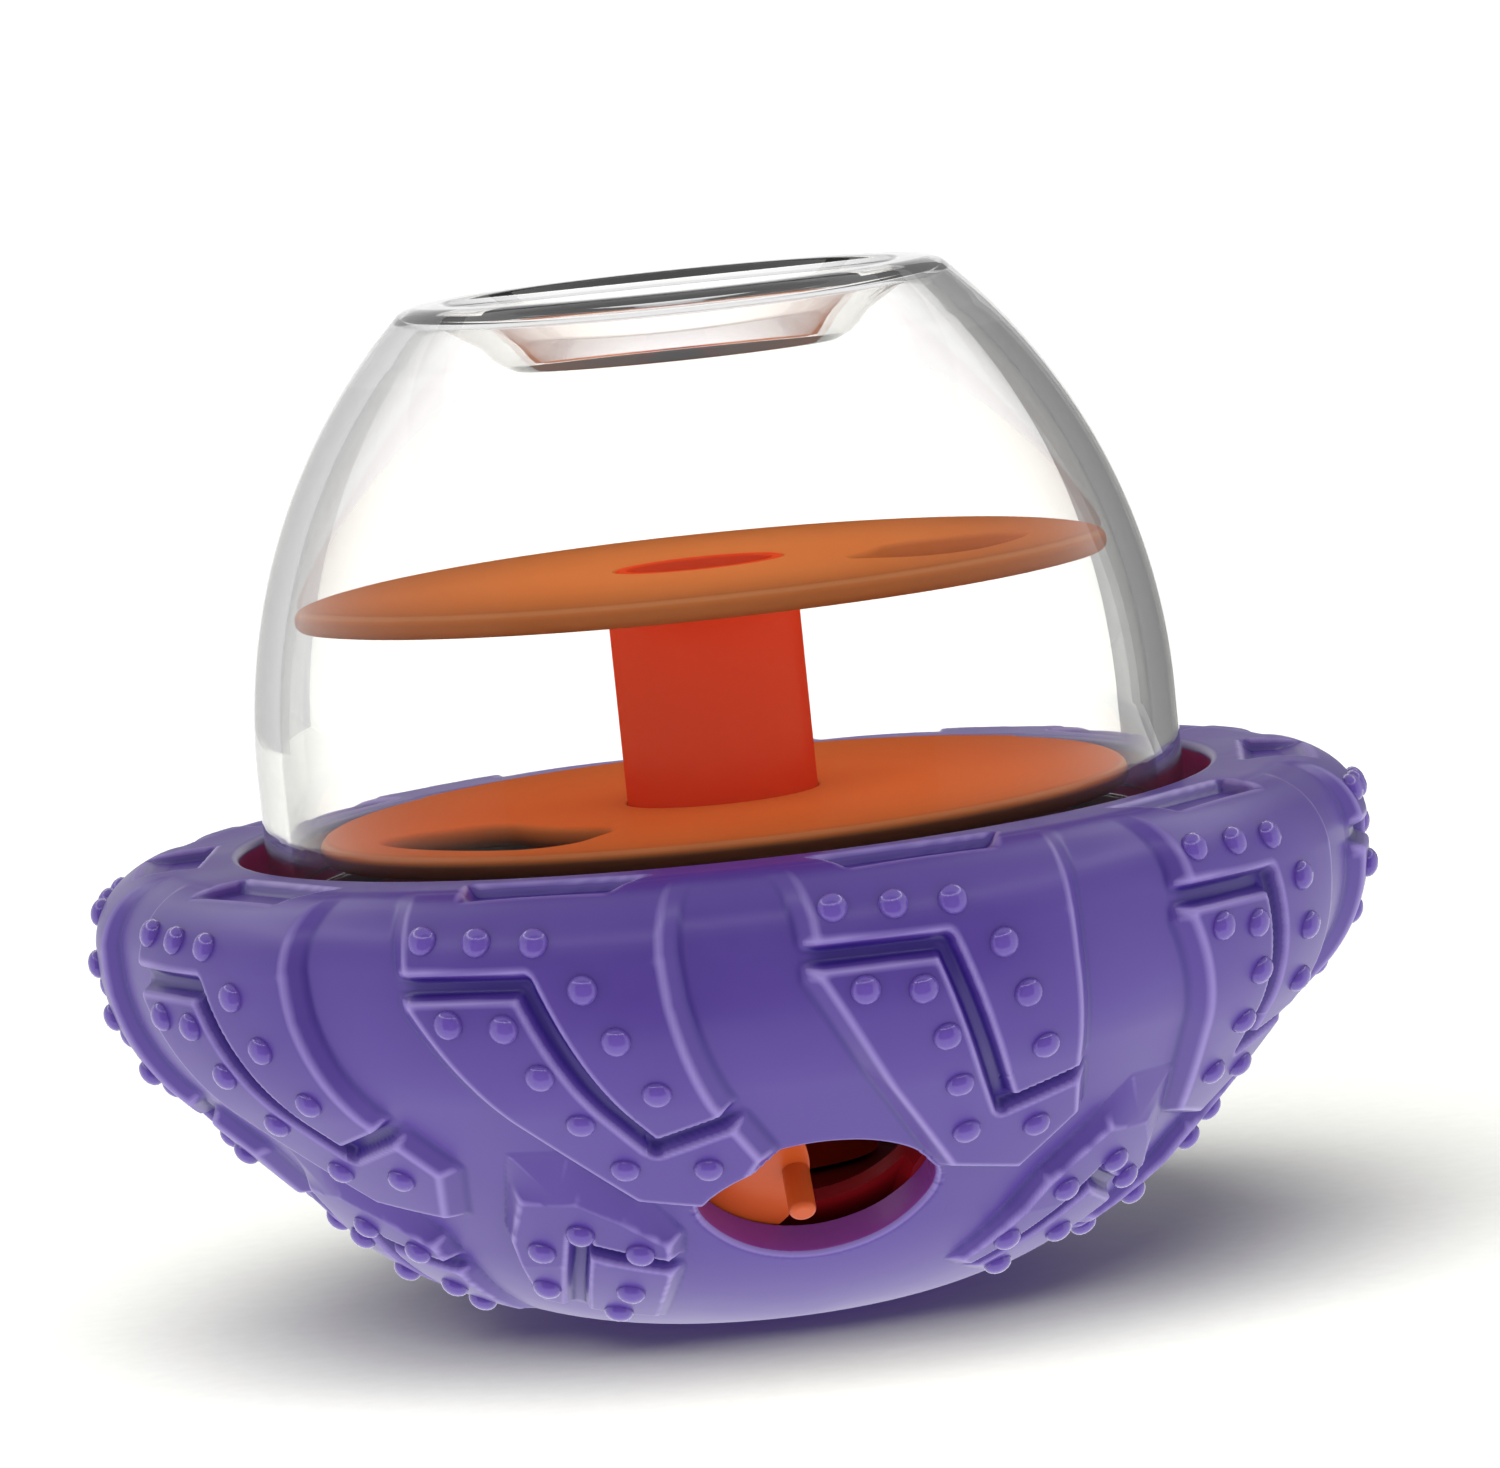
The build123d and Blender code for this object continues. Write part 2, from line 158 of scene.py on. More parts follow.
# soft rubber: satin, a little light goes in and comes out
rubber = {
    "cloudMm": 10.0, "grainMm": 0.5, "grainDepthMm": 0.012, "grainStrength": 0.35,
    "roughness": (0.34, 0.42), "ior": 1.5, "specular": 0.4, "scatter": 0.15, "scatterMm": 1.5,
    "coat": 0.1, "coatRoughness": 0.22}
# violet right into the shadows, with a painted highlight along the edges and deep blue painted
# shade in the grooves and corners
treadRubber = mouldedMaterial(rubber | {
    "name": "mouldedVioletRubber", "dark": "4C338D", "light": "573D99", "cloudMm": 14.0,
    "scatter": 0.12, "scatterMm": 1.2, "scatterTint": (0.8, 0.5, 1.0), "flatShine": 0.1,
    "edges": (("A593D6", 0.1, 0.8, 0.7), ("2A1478", -0.1, -0.9, 0.85))})
# lip of violet rubber painted magenta: painted red bounce light from the red bowl and the orange
# trays nearby
lipRubber = mouldedMaterial(rubber | {
    "name": "violetRubberPaintedRedBounce", "dark": "8C2068", "light": "982A72", "specular": 0.3,
    "scatterTint": (1.0, 0.4, 0.8)})
# wall of the outlet painted red-violet: a weaker painted red bounce light from the maroon bowl
# inside
outletRubber = mouldedMaterial(rubber | {
    "name": "violetRubberPaintedFaintRedBounce", "dark": "7C3688", "light": "884094", "roughness": (0.3, 0.38),
    "scatterTint": (1.0, 0.4, 0.9)})
# the nubs come out of polished pits in the mould: wet-looking drops, painted lighter than the tread
# to stand in for light shining through them
nubRubber = mouldedMaterial(rubber | {
    "name": "polishedVioletRubber", "dark": "6148A2", "light": "6C54AC", "cloudMm": 14.0,
    "grainMm": 0.8, "grainDepthMm": 0.004, "grainStrength": 0.2, "roughness": (0.14, 0.2),
    "scatter": 0.2, "scatterMm": 1.6, "scatterTint": (0.8, 0.5, 1.0),
    "coat": 0.3, "coatRoughness": 0.05})

# hard plastic: finer grain than the rubber, and light hardly goes in
hardPlastic = {
    "cloudMm": 16.0, "grainMm": 0.35, "grainDepthMm": 0.006, "grainStrength": 0.3, "ior": 1.54,
    "specular": 0.3, "scatter": 0.08, "scatterMm": 1.0, "scatterTint": (1.0, 0.4, 0.15),
    "coat": 0.0, "coatRoughness": 0.1}
# orange plate with a faint flow cloud and a weak, softly worn shine; its edge tones are a painted
# highlight along the rim and brown painted shade under it
trayPlastic = mouldedMaterial(hardPlastic | {
    "name": "mouldedOrangeAbs", "dark": "B8642F", "light": "C26E3A", "cloudMm": 18.0,
    "roughness": (0.3, 0.4), "specular": 0.0, "scatter": 0.05,
    "shine": 0.015, "shineTint": "FFE0B0",
    "edges": (("E0A070", 0.1, 1.0, 0.6), ("3E1804", -0.1, -1.0, 0.92))})
# warm red-orange tube, shinier than the trays
columnPlastic = mouldedMaterial(hardPlastic | {
    "name": "mouldedRedAbs", "dark": "C43206", "light": "CE3A0C", "grainDepthMm": 0.005,
    "roughness": (0.24, 0.32), "specular": 0.0, "scatterMm": 1.2, "scatterTint": (1.0, 0.3, 0.12),
    "shine": 0.025, "shineTint": "FFE8B8"})
# deep red bowl, which goes maroon in its own shade
linerPlastic = mouldedMaterial(hardPlastic | {
    "name": "mouldedMaroonAbs", "dark": "7A0A14", "light": "8C1019", "grainMm": 0.4,
    "grainDepthMm": 0.008, "roughness": (0.32, 0.42), "scatter": 0.03,
    "scatterTint": (1.0, 0.2, 0.1)})
# shutter in the brightest orange, rubbed satin by use
shutterPlastic = mouldedMaterial(hardPlastic | {
    "name": "mouldedBrightOrangeAbs", "dark": "C04C18", "light": "CC5A28", "cloudMm": 9.0,
    "grainMm": 0.3, "roughness": (0.28, 0.4)})
# dark dusty ring, matt
sealSilicone = mouldedMaterial({
    "name": "mouldedCharcoalSilicone", "dark": "1B1B1E", "light": "26262A", "cloudMm": 6.0,
    "grainMm": 0.4, "grainDepthMm": 0.01, "grainStrength": 0.4, "roughness": (0.5, 0.62),
    "ior": 1.41, "specular": 0.5, "scatter": 0.0, "scatterMm": 1.0, "scatterTint": (1.0, 1.0, 1.0),
    "coat": 0.0, "coatRoughness": 0.1})


# polished clear wall with the faint ripple and handling haze of a moulding
def clearMaterial(spec):
    material, tree = newMaterial(spec["name"])
    place = addNode(tree, "ShaderNodeTexCoord").outputs["Object"]
    ripple = addNoise(tree, place, spec["rippleMm"], detail=1.0)
    haze = addNoise(tree, place, spec["hazeMm"], detail=4.0)
    gloss = addRange(tree, haze, spec["hazeRange"], spec["roughness"])
    bump = addBump(tree, ripple, spec["rippleStrength"], spec["rippleDepthMm"])
    # painted shade: grey where the wall turns edge-on, standing in for the dark bands that
    # refraction gives a thick clear wall there
    turned = addNode(tree, "ShaderNodeLayerWeight", {}, {"Blend": 0.5}).outputs["Facing"]
    edgeOnShade = addRange(tree, turned, spec["edgeRange"], (0.0, 1.0))
    color = addMix(tree, edgeOnShade, spec["tint"], spec["edgeOnShadeTint"])
    # painted glow: the wall gives off a faint light of its own
    shader = addNode(tree, "ShaderNodeBsdfPrincipled", {}, {
        "IOR": spec["ior"], "Transmission Weight": 1.0, "Specular Tint": linearColor(spec["glare"]),
        "Emission Color": (1, 1, 1, 1), "Emission Strength": spec["glow"]},
        {"Base Color": color, "Roughness": gloss, "Normal": bump})
    endMaterial(tree, shader.outputs["BSDF"])
    return material


clearWall = {
    "name": "polishedClearPolycarbonate", "tint": "FEFEFE", "edgeOnShadeTint": "808080",
    "edgeRange": (0.5, 0.9), "glare": "404040", "glow": 0.002, "ior": 1.58,
    "rippleMm": 22.0, "rippleDepthMm": 0.05, "rippleStrength": 0.2,
    "hazeMm": 9.0, "hazeRange": (0.45, 0.8), "roughness": (0.0, 0.03)}
domeClear = clearMaterial(clearWall)
# the crest: the same plastic with a stronger painted glow, so it looks a little milkier than the
# wall
crestClear = clearMaterial(clearWall | {"name": "polishedClearPolycarbonateCrest", "glow": 0.018})


# bare metal with blotches of dull and bright, and a grain in relief
def metalMaterial(spec):
    material, tree = newMaterial(spec["name"])
    place = addNode(tree, "ShaderNodeTexCoord").outputs["Object"]
    grain = addNoise(tree, place, spec["grainMm"], detail=5.0)
    color = addMix(tree, grain, spec["dark"], spec["light"])
    gloss = addRange(tree, grain, noiseRange, spec["roughness"])
    bump = addBump(tree, grain, spec["grainStrength"], spec["grainDepthMm"])
    shader = addNode(tree, "ShaderNodeBsdfPrincipled", {}, {"Metallic": 1.0},
                     {"Base Color": color, "Roughness": gloss, "Normal": bump})
    endMaterial(tree, shader.outputs["BSDF"])
    return material


# zinc plate: pale, slightly blotchy shine
screwSteel = metalMaterial({
    "name": "zincPlatedSteel", "dark": "A9ABAD", "light": "C6C8C9", "grainMm": 0.8,
    "grainDepthMm": 0.01, "grainStrength": 0.5, "roughness": (0.22, 0.38)})
# cast iron: dark, sandy and dull
ballastIron = metalMaterial({
    "name": "sandCastIron", "dark": "3A3937", "light": "57544F", "grainMm": 0.7,
    "grainDepthMm": 0.08, "grainStrength": 0.5, "roughness": (0.5, 0.7)})
print("materials made")


# bearings go round from the front (-Y) towards the right (+X)
def onBearing(radius, degreesRound, height):
    turn = radians(degreesRound)
    return Vector((radius * sin(turn), -radius * cos(turn), height)) * mm


def addObject(name, bm, materials):
    mesh = bpy.data.meshes.new(name)
    bm.to_mesh(mesh)
    bm.free()
    for material in materials:
        mesh.materials.append(material)
    made = bpy.data.objects.new(name, mesh)
    scene.collection.objects.link(made)
    return made


def addPiece(name, bm, materials, body, nodes):
    piece = addObject(name, bm, materials)
    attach(piece, body)
    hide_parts(*nodes)
    return piece


# turns a line of points round the upright axis
def spinLine(bm, line, edges, steps, angle=2 * pi, closed=True):
    bmesh.ops.spin(bm, geom=line + edges, cent=(0, 0, 0), axis=(0, 0, 1), dvec=(0, 0, 0),
                   angle=angle, steps=steps, use_merge=closed, use_duplicate=False)


def smoothFaces(bm, sharpDegrees):
    bmesh.ops.recalc_face_normals(bm, faces=bm.faces)
    for face in bm.faces:
        face.smooth = True
    for edge in bm.edges:
        if len(edge.link_faces) == 2 and edge.calc_face_angle(0) > radians(sharpDegrees):
            edge.smooth = False


# tread: the skin of the base, spun in ten sectors, then raised into lugs
# outlines of the main lugs are bearings and shares of the rim height, those of the lower lugs are
# millimetres on a flat that lies on the cone, and the pocket is bearings and radii
tread = {
    "rimR": 53.5, "rimZ": 54.8, "rimLow": 47.0, "rimRound": 0.9, "sideR": 68.0, "shoulderR": 7.6,
    "sideArcR": 20.0, "lean": radians(44.4), "coneFootR": 30.9, "footR": 12.0,
    "step": 0.33, "wideStep": 1.6, "fineTo": radians(80), "leastStep": 0.2,
    "poleR": 0.1, "poleWeld": 0.05,
    "lugs": 10, "pitch": 36.0, "firstLug": 18.0, "sectorFrom": -11.3,
    "lugHeight": 2.0, "lugRun": 2.0, "shoulderLift": (0.6, 1.4, 0.9), "footLift": 6.6,
    "edgeSoftness": 0.1, "edgeHighlightGain": 0.6, "grooveShadeTone": 0.5,
    "grooveHalf": 1.0, "grooveRun": 0.7, "grooveDepth": 1.7, "grooveMost": 0.85,
    "overRim": 100.0,
    "face": ((-14.0, 1.04), (-11.6, 0.912), (-11.4, 0.80), (3.9, 0.365), (13.2, 0.335),
             (17.8, 0.435), (14.0, 0.566), (11.6, 0.775), (11.3, 0.876), (13.0, 1.04)),
    "groove": ((-15.0, 0.842), (-0.6, 0.832), (7.6, 0.484), (19.5, 0.552)),
    "pocket": ((-9.6, 57.8), (-7.4, 64.5), (6.6, 64.5), (9.4, 58.9)),
    "pocketZ": 53.4, "pocketEdge": 0.5, "pocketReach": 0.5, "pocketTilt": (0.3, 0.4),
    "lowTurn": -6.0, "lowZ": 14.8, "lowReach": 0.6, "lowShares": (-0.3, 1.15),
    "lowFloor": ((-3.5, 14.2), (3.7, 14.2), (8.9, 5.5), (10.9, -1.5), (8.2, -8.4), (0.4, -20.8),
                 (-11.8, -14.5), (-9.3, 1.0)),
    "lowFace": ((-4.0, 8.0), (2.3, 7.5), (5.9, 3.6), (9.2, -1.6), (7.2, -7.2), (0.3, -18.9),
                (-10.5, -13.5), (-8.1, 0.3)),
    "lowGrooves": (((0.2, 1.1), (-9.3, -19.7)), ((-0.5, -0.5), (11.0, -7.1))),
}
nubs = {
    "radius": 1.6, "height": 1.14, "around": 18, "rings": 10, "sunk": 0.5,
    "main": ((-9.8, 0.923), (-4.6, 0.918), (0.6, 0.913), (4.6, 0.819), (6.8, 0.715), (9.4, 0.606),
             (-7.8, 0.765), (-2.8, 0.757), (-0.6, 0.657), (1.5, 0.552), (3.9, 0.442),
             (12.5, 0.429)),
    "low": ((-6.1, 0.258), (0.8, 0.30), (7.2, 0.245), (-11.0, 0.168), (2.0, 0.151), (-4.5, 0.096)),
}
outlet = {
    "bearing": 6.7, "radius": 48.3, "halfWidth": 13.2, "halfHeight": 9.6, "tipBlend": 2.5,
    "round": 0.7, "roundTurns": (0.4, 0.8, 1.2, pi / 2), "depth": 3.8, "lipHighlightTone": 0.6,
    "snap": 0.75, "nearOut": 8.0, "near": 20.0,
}


# profile of the bowl from the lip down to the foot, with the way out and the lug height of each row
def treadRows():
    lean = tread["lean"]
    rise = pi / 2 - lean
    sideArc = tread["sideArcR"]
    footArc = (tread["coneFootR"] - tread["footR"]) / tan(rise / 2)
    arcZ = (tread["sideR"] - tread["coneFootR"]) / tan(lean) + sideArc * tan(lean / 2)
    shoulder = tread["shoulderR"]
    shoulderX, shoulderZ = tread["sideR"] - shoulder, tread["rimZ"] - shoulder
    made = []

    def run(start, end, normal, step):
        wayX, wayZ = end[0] - start[0], end[1] - start[1]
        count = max(1, round(hypot(wayX, wayZ) / step))
        for index in range(count):
            share = index / count
            made.append((start[0] + wayX * share, start[1] + wayZ * share, *normal))

    def bend(centre, radius, first, last, step):
        count = max(1, round(radius * abs(last - first) / step))
        for index in range(count):
            turn = first + (last - first) * index / count
            outX, outZ = cos(turn), sin(turn)
            made.append((centre[0] + radius * outX, centre[1] + radius * outZ, outX, outZ))

    rim, edge, step, wide = tread["rimR"], tread["rimRound"], tread["step"], tread["wideStep"]
    sideEnd = (tread["sideR"] - sideArc * (1 - cos(lean)), arcZ - sideArc * sin(lean))
    footEnd = (tread["footR"] + footArc * cos(lean), footArc * (1 - sin(lean)))
    run((rim, tread["rimLow"]), (rim, tread["rimZ"] - edge), (-1, 0), wide)
    lip = len(made)
    bend((rim + edge, tread["rimZ"] - edge), edge, pi, pi / 2, step)
    run((rim + edge, tread["rimZ"]), (shoulderX, tread["rimZ"]), (0, 1), step)
    top = len(made)
    bend((shoulderX, shoulderZ), shoulder, pi / 2, 0, step)
    run((tread["sideR"], shoulderZ), (tread["sideR"], arcZ), (1, 0), step)
    bend((tread["sideR"] - sideArc, arcZ), sideArc, 0, -lean, step)
    run(sideEnd, footEnd, (cos(lean), -sin(lean)), step)
    bend((tread["footR"], footArc), footArc, -lean, -tread["fineTo"], step)
    bend((tread["footR"], footArc), footArc, -tread["fineTo"], -pi / 2, wide)
    run((tread["footR"], 0), (0, 0), (0, -1), wide)
    made.append((0, 0, 0, -1))
    radius, height, outX, outZ = np.array(made).T
    along = np.concatenate([[0], np.cumsum(np.hypot(np.diff(radius), np.diff(height)))])
    # how far a lug stands out: nothing on the rim, full on the side, nothing again at the foot
    lift = np.full(len(made), tread["lugHeight"])
    start, gain, loss = tread["shoulderLift"]
    onShoulder = outZ > 0
    ramp = start + gain * outX - loss * outZ
    lift[onShoulder] = np.clip(ramp[onShoulder], 0, tread["lugHeight"])
    low = height < footEnd[1]
    lift[low] = tread["footLift"] * (1 + outZ[low])
    lift[:top] = 0
    return {"radius": radius, "height": height, "outX": outX, "outZ": outZ, "along": along,
            "lift": lift, "faceR": radius + lift * outX, "faceZ": height + lift * outZ,
            "lip": lip, "top": top}


rows = treadRows()


# row whose lug face lies nearest to a height
def faceRow(height):
    top = rows["top"]
    return top + int(np.argmin(np.abs(rows["faceZ"][top:] - height)))


# lays points given by bearing and share of the rim height flat on the lug faces
def flatPlaces(shares):
    top = rows["top"]
    places = []
    for turn, share in shares:
        if share > 1:
            along = rows["along"][top] - (share - 1) * tread["overRim"]
            radius = rows["radius"][top]
        else:
            row = faceRow(share * tread["rimZ"])
            along, radius = rows["along"][row], rows["faceR"][row]
        places.append((radians(turn) * radius, along))
    return places


def pathDistance(points, across, along):
    far = np.full(across.shape, np.inf)
    for (ax, ay), (bx, by) in zip(points, points[1:]):
        wayX, wayY = bx - ax, by - ay
        share = ((across - ax) * wayX + (along - ay) * wayY) / (wayX ** 2 + wayY ** 2)
        share = np.clip(share, 0, 1)
        far = np.minimum(far, np.hypot(across - ax - share * wayX, along - ay - share * wayY))
    return far


# distance to a closed outline, negative inside
def outlineDistance(corners, across, along):
    corners = [*corners, corners[0]]
    inside = np.zeros(across.shape, bool)
    for (ax, ay), (bx, by) in zip(corners, corners[1:]):
        if ay != by:
            border = (bx - ax) * (along - ay) / (by - ay) + ax
            inside ^= ((ay > along) != (by > along)) & (across < border)
    far = pathDistance(corners, across, along)
    return np.where(inside, -far, far)


# ramp from 0 to 1 with rounded corners
def softRamp(share):
    soft = tread["edgeSoftness"]
    return (np.sqrt(share ** 2 + soft ** 2) - np.sqrt((share - 1) ** 2 + soft ** 2) + 1) / 2


def grooveShare(distance):
    return softRamp((tread["grooveHalf"] + tread["grooveRun"] / 2 - distance) / tread["grooveRun"])


# height of the skin over the plain bowl and share of groove, for places given by bearing and row
def treadLift(turn, row):
    radius, height, outZ, along, lift, faceR, faceZ = (
        rows[key][row] for key in ("radius", "height", "outZ", "along", "lift", "faceR", "faceZ"))
    faceLine = flatPlaces(tread["face"])
    grooveLine = flatPlaces(tread["groove"])
    pocketLine = [(distance * sin(radians(angle)), distance * cos(radians(angle)))
                  for angle, distance in tread["pocket"]]
    lean = tread["lean"]
    lowR = rows["faceR"][faceRow(tread["lowZ"])]
    outside, inside = tread["lowShares"]
    steep, steepest = tread["pocketTilt"]
    sunk = np.minimum(tread["grooveDepth"], tread["grooveMost"] * lift)
    total, dent, deep = np.zeros(turn.shape), np.zeros(turn.shape), np.zeros(turn.shape)
    nearest = np.round((turn - tread["firstLug"]) / tread["pitch"]).astype(int)
    for shift in (-1, 0, 1):
        lug = nearest + shift
        local = np.radians(turn - tread["firstLug"] - lug * tread["pitch"])
        across = local * faceR
        rise = softRamp(1 - outlineDistance(faceLine, across, along) / tread["lugRun"])
        cut = grooveShare(pathDistance(grooveLine, across, along))
        main = rise * (lift - cut * sunk)
        deep = np.maximum(deep, cut * np.clip(2 * rise - 1, 0, 1))
        # lower lugs climb from their floor line to their face line; the outlet has one's place
        lowLocal = local - radians(tread["lowTurn"])
        x, y = faceR * np.sin(lowLocal), faceR * np.cos(lowLocal) - lowR
        up = y * sin(lean) + (faceZ - tread["lowZ"]) * cos(lean)
        floorIn = np.maximum(-outlineDistance(tread["lowFloor"], x, up), 0)
        faceOut = np.maximum(outlineDistance(tread["lowFace"], x, up), 0)
        share = np.where(faceOut > 0, floorIn / np.maximum(floorIn + faceOut, tiny), inside)
        rise = softRamp(np.where(floorIn > 0, share, outside))
        cut = np.max([grooveShare(pathDistance(line, x, up)) for line in tread["lowGrooves"]],
                     axis=0)
        under = rise * (lift - cut * sunk)
        away = np.abs(lowLocal) > tread["lowReach"]
        under = np.where((lug % tread["lugs"] == 0) | away, 0, under)
        deep = np.maximum(deep, cut * (under > 0) * np.clip(2 * rise - 1, 0, 1))
        total = np.maximum(total, np.maximum(main, under))
        # shallow pocket in the rim over each lug
        distance = outlineDistance(pocketLine, radius * np.sin(local), radius * np.cos(local))
        sink = np.maximum(height - tread["pocketZ"], 0) / np.maximum(outZ, steepest)
        sink = softRamp(tread["pocketEdge"] - distance) * sink
        dent = np.maximum(dent, np.where(np.abs(local) < tread["pocketReach"], sink, 0))
    return total - dent * (outZ > steep), deep


# how sharply the skin bends at each place of a grid: over zero on edges, under zero in corners and
# grooves; over zero becomes a painted highlight, under zero painted shade
def paintedLightShare(lift, deep):
    across = rows["faceR"] * radians(tread["pitch"]) / (len(lift) - 3)
    across = np.maximum(across, tread["leastStep"])
    bendAcross = (lift[2:] - 2 * lift[1:-1] + lift[:-2]) / across ** 2
    stepAlong = np.maximum(np.gradient(rows["along"]), tread["leastStep"])
    bendAlong = np.zeros(lift.shape)
    bendAlong[:, 1:-1] = (lift[:, 2:] - 2 * lift[:, 1:-1] + lift[:, :-2]) / stepAlong[1:-1] ** 2
    share = np.clip(-tread["edgeHighlightGain"] * (bendAcross + bendAlong[1:-1]), -1, 1)
    # grooves get more painted shade on top of their bend
    share = share - tread["grooveShadeTone"] * deep[1:-1]
    for axis in (0, 1):
        share = (share + (np.roll(share, 1, axis) + np.roll(share, -1, axis)) / 2) / 2
    return share


# middle of the outlet on the cone, and its directions right, up and out
def outletFrame():
    lean = tread["lean"]
    height = (outlet["radius"] - tread["coneFootR"]) / tan(lean)
    centre = onBearing(outlet["radius"], outlet["bearing"], height)
    right = onBearing(1, outlet["bearing"] + 90, 0) / mm
    out = onBearing(cos(lean), outlet["bearing"], -sin(lean)) / mm
    return centre, right, out.cross(right), out


# distance to the eye-shaped outlet in its own plane, and the way straight away from it
def lensDistance(x, y):
    wide, high, tip = outlet["halfWidth"], outlet["halfHeight"], outlet["tipBlend"]
    arc = (wide ** 2 + high ** 2) / (2 * high)
    spots = [(x, y + arc - high), (x, y - arc + high)]
    first, second = [hypot(*spot) - arc for spot in spots]
    blend = max(tip - abs(first - second), 0) / tip
    weight = 0.5 * blend if first < second else 1 - 0.5 * blend
    ways = [Vector(spot).normalized() for spot in spots]
    way = (ways[0] * weight + ways[1] * (1 - weight)).normalized()
    return max(first, second) + blend ** 2 * tip / 4, way


# material 0 is the skin, 1 the lip and 2 the wall of the outlet
def addSector(index, bm):
    return addPiece("treadSector%d" % index, bm, [treadRubber, lipRubber, outletRubber],
                    "base", ["tread_shell"])


def makeSector(index):
    bm = bmesh.new()
    rowLayer = bm.verts.layers.int.new("row")
    paintedLightLayer = bm.verts.layers.float.new("edge")
    pitch = tread["pitch"]
    start = tread["sectorFrom"] + index * pitch
    line = []
    for row in range(len(rows["radius"])):
        vert = bm.verts.new(onBearing(rows["radius"][row], start, rows["height"][row]))
        vert[rowLayer] = row
        line.append(vert)
    edges = [bm.edges.new(pair) for pair in zip(line, line[1:])]
    steps = round(radians(pitch) * (tread["sideR"] + tread["lugHeight"]) / tread["step"])
    spinLine(bm, line, edges, steps, radians(pitch), False)
    verts = list(bm.verts)
    places = np.array([vert.co for vert in verts])
    row = np.array([vert[rowLayer] for vert in verts])
    turn = np.degrees(np.arctan2(places[:, 0], -places[:, 1]))
    turn = np.where(rows["radius"][row] < tiny, start, turn)
    turn = start + (turn - start + 1) % 360 - 1  # counted on from the sector's start
    column = np.round((turn - start) / pitch * steps).astype(int)
    # the grid has one more column on each side, so that the painted highlights and painted shade
    # meet across sectors
    turns = start + np.arange(-1, steps + 2) * pitch / steps
    lift, deep = treadLift(*np.meshgrid(turns, np.arange(len(line)), indexing="ij"))
    tones = paintedLightShare(lift, deep)[column, row]
    lift = lift[column + 1, row] * mm
    places[:, 0] += lift * rows["outX"][row] * np.sin(np.radians(turn))
    places[:, 1] -= lift * rows["outX"][row] * np.cos(np.radians(turn))
    places[:, 2] += lift * rows["outZ"][row]
    for vert, place, tone in zip(verts, places, tones):
        vert.co = place
        vert[paintedLightLayer] = tone
    if index == 0:
        cutOutlet(bm)
    pole = [vert for vert in bm.verts if vert.co.xy.length < tread["poleR"] * mm]
    bmesh.ops.remove_doubles(bm, verts=pole, dist=tread["poleWeld"] * mm)
    for face in bm.faces:
        face.smooth = True
        if all(vert[rowLayer] <= rows["lip"] for vert in face.verts):
            face.material_index = 1
    # the face farthest out tells whether the skin is inside out
    side = onBearing(1, start + pitch / 2, 0)
    sample = max(bm.faces, key=lambda face: face.calc_center_median().dot(side))
    if sample.normal.dot(side) < 0:
        bmesh.ops.reverse_faces(bm, faces=bm.faces)
    return addSector(index, bm)


# opens the outlet: the grid is drawn onto its edge, cleared inside, and the edge is turned in
def cutOutlet(bm):
    centre, right, up, out = outletFrame()
    roundR = outlet["round"]
    distances = {}
    for vert in bm.verts:
        offset = (vert.co - centre) / mm
        if abs(offset.dot(out)) > outlet["nearOut"] or offset.length > outlet["near"]:
            continue
        distance, way = lensDistance(offset.dot(right), offset.dot(up))
        distance -= roundR
        if abs(distance) < outlet["snap"] * tread["step"]:
            vert.co -= (right * way.x + up * way.y) * distance * mm
            distance = 0
        distances[vert] = distance
    inside = [face for face in bm.faces
              if all(vert in distances and distances[vert] <= 0 for vert in face.verts)]
    bmesh.ops.delete(bm, geom=inside, context="FACES")
    loop = [edge for edge in bm.edges
            if edge.is_boundary and all(distances.get(vert) == 0 for vert in edge.verts)]
    paintedLightLayer = bm.verts.layers.float["edge"]
    turns = [(roundR * (1 - sin(turn)), roundR * (1 - cos(turn))) for turn in outlet["roundTurns"]]
    lastX, lastZ = roundR, 0.0
    for inX, inZ in turns + [(0.0, outlet["depth"] / 2), (0.0, outlet["depth"])]:
        made = bmesh.ops.extrude_edge_only(bm, edges=loop)["geom"]
        for vert in [item for item in made if isinstance(item, bmesh.types.BMVert)]:
            offset = (vert.co - centre) / mm
            way = lensDistance(offset.dot(right), offset.dot(up))[1]
            vert.co += ((right * way.x + up * way.y) * (inX - lastX) - out * (inZ - lastZ)) * mm
            # painted highlight along the rounded lip of the outlet
            vert[paintedLightLayer] = outlet["lipHighlightTone"] if inZ < roundR else 0.0
        for face in [item for item in made if isinstance(item, bmesh.types.BMFace)]:
            face.material_index = 2 if inX == 0 else 0
        loop = [item for item in made if isinstance(item, bmesh.types.BMEdge)]
        lastX, lastZ = inX, inZ


